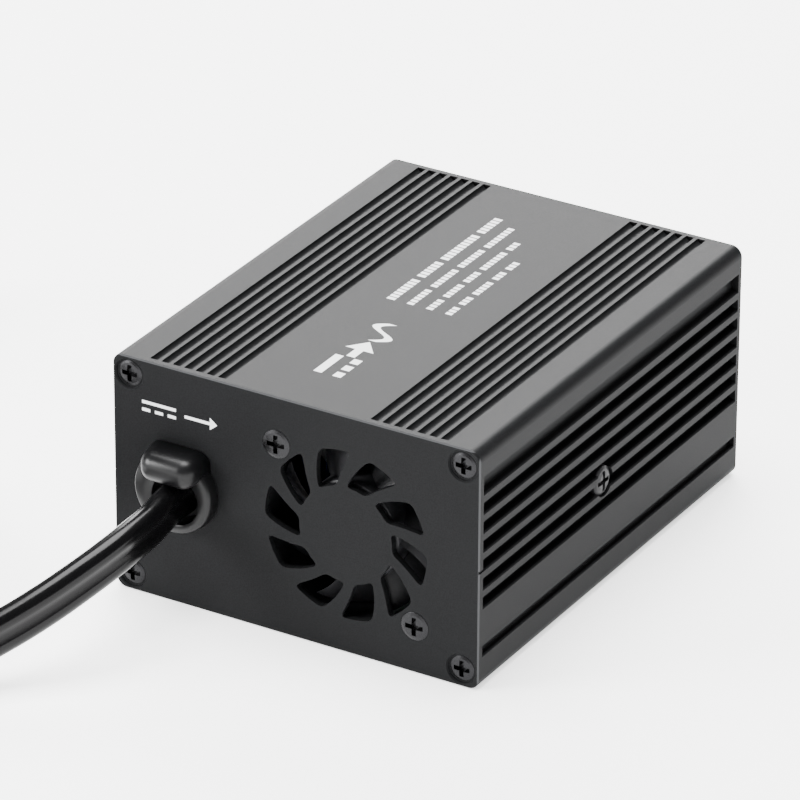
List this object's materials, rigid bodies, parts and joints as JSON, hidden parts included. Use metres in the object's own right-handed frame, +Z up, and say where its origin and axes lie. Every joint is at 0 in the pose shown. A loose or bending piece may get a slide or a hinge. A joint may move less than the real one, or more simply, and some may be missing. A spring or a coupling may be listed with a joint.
{
  "type": "power inverter",
  "caption": "Small finned car power inverter with a fan grille and a fused 12 V lead in front, and a mains outlet, charging ports and a rocker switch behind.",
  "frame": {"origin": "middle of the case's underside", "axes": "+X to the right seen from the lead end, +Y from the lead end to the outlet end, +Z up"},
  "size_m": [0.2076, 0.2128, 0.053],
  "materials": {
    "case_anodised": "satin dark finish with a fine grain",
    "plate_anodised": "satin dark finish, bright cut edges",
    "black_screw": "black oxide",
    "zinc_steel": "zinc plated",
    "black_gloss_plastic": "glossy moulded",
    "black_plastic": "moulded",
    "grey_plastic": "moulded",
    "cord_pvc": "glossy soft PVC",
    "magnet": "bonded ferrite",
    "bronze": "sintered",
    "core_steel": "laminated",
    "copper": "enamelled wire",
    "circuit_board": "solder mask",
    "red_insulation": "soft",
    "black_insulation": "soft",
    "nickel": "nickel plated",
    "glass_fuse": "clear",
    "fuse_plastic": "translucent",
    "capacitor_sleeve": "shrunk sleeve",
    "ferrite": "ground",
    "tape": "wrapped tape",
    "chip_epoxy": "moulded epoxy",
    "aluminium_bar": "drawn",
    "pad": "silicone",
    "white_plastic": "moulded",
    "green_lens": "translucent",
    "switch_black": "moulded",
    "switch_red": "moulded",
    "brass_contact": "stamped"
  },
  "bodies": {
    "inverter": {"case_extrusion": "case_anodised", "front_plate": "plate_anodised", "rear_plate": "plate_anodised", "front_corner_screws": "black_screw", "rear_corner_screws": "black_screw", "fan_screws": "black_screw", "fan_nuts": "zinc_steel", "side_screws": "black_screw", "fan_frame": "black_plastic", "fan_bearing": "bronze", "fan_stator_core": "core_steel", "fan_windings": "copper", "fan_circuit_board": "circuit_board", "fan_lead_red": "red_insulation", "fan_lead_black": "black_insulation", "cord_bush_body": "black_gloss_plastic", "cord_bush_wedge": "black_gloss_plastic", "dc_cord": "cord_pvc", "cord_coil": "cord_pvc", "cord_tail": "cord_pvc", "cord_tie": "black_insulation", "plug_body_lower": "black_plastic", "plug_body_upper": "black_plastic", "plug_strain_relief": "cord_pvc", "plug_nose_cap": "black_gloss_plastic", "plug_spring": "zinc_steel", "plug_fuse": "glass_fuse", "plug_screw": "zinc_steel", "main_board": "circuit_board", "input_wire_red": "red_insulation", "input_wire_black": "black_insulation", "board_fuse": "fuse_plastic", "input_capacitors": "capacitor_sleeve", "transformer_core": "ferrite", "transformer_winding": "tape", "transformer_bobbin": "black_plastic", "hv_capacitor": "capacitor_sleeve", "input_mosfets": "chip_epoxy", "output_mosfets": "chip_epoxy", "mosfet_clamps": "aluminium_bar", "insulator_pads": "pad", "choke_core": "ferrite", "choke_winding": "copper", "control_chips": "chip_epoxy", "usb_board": "circuit_board", "usb_shells": "nickel", "usb_tongues": "white_plastic", "ac_outlet_body": "white_plastic", "ac_outlet_contacts": "brass_contact", "status_led": "green_lens", "switch_housing": "switch_black", "switch_terminals": "brass_contact"},
    "fan_rotor": {"fan_impeller": "grey_plastic", "fan_magnet_ring": "magnet", "fan_shaft": "zinc_steel"},
    "plug_tip": {"plug_tip_contact": "nickel"},
    "plug_contact_left": {"plug_side_contact_left": "nickel"},
    "plug_contact_right": {"plug_side_contact_right": "nickel"},
    "rocker": {"switch_rocker": "switch_red"}
  },
  "joints": [
    {"name": "fan_spin", "type": "hinge", "parent": "inverter", "child": "fan_rotor", "pos_m": [0.0119, -0.0475, 0.0265], "axis": [0, 1, 0], "continuous": true},
    {"name": "switch_rock", "type": "hinge", "parent": "inverter", "child": "rocker", "pos_m": [-0.02, 0.052, 0.014], "axis": [0, 0, -1], "range_deg": [0, 20]},
    {"name": "tip_press", "type": "slide", "parent": "inverter", "child": "plug_tip", "axis": [0, -1, 0], "range_m": [0, 0.003], "stiffness_N_per_m": 1500, "deforming": ["plug_spring"]},
    {"name": "left_contact_press", "type": "slide", "parent": "inverter", "child": "plug_contact_left", "axis": [1, 0, 0], "range_m": [0, 0.0009], "stiffness_N_per_m": 1500},
    {"name": "right_contact_press", "type": "slide", "parent": "inverter", "child": "plug_contact_right", "axis": [-1, 0, 0], "range_m": [0, 0.0009], "stiffness_N_per_m": 1500}
  ]
}
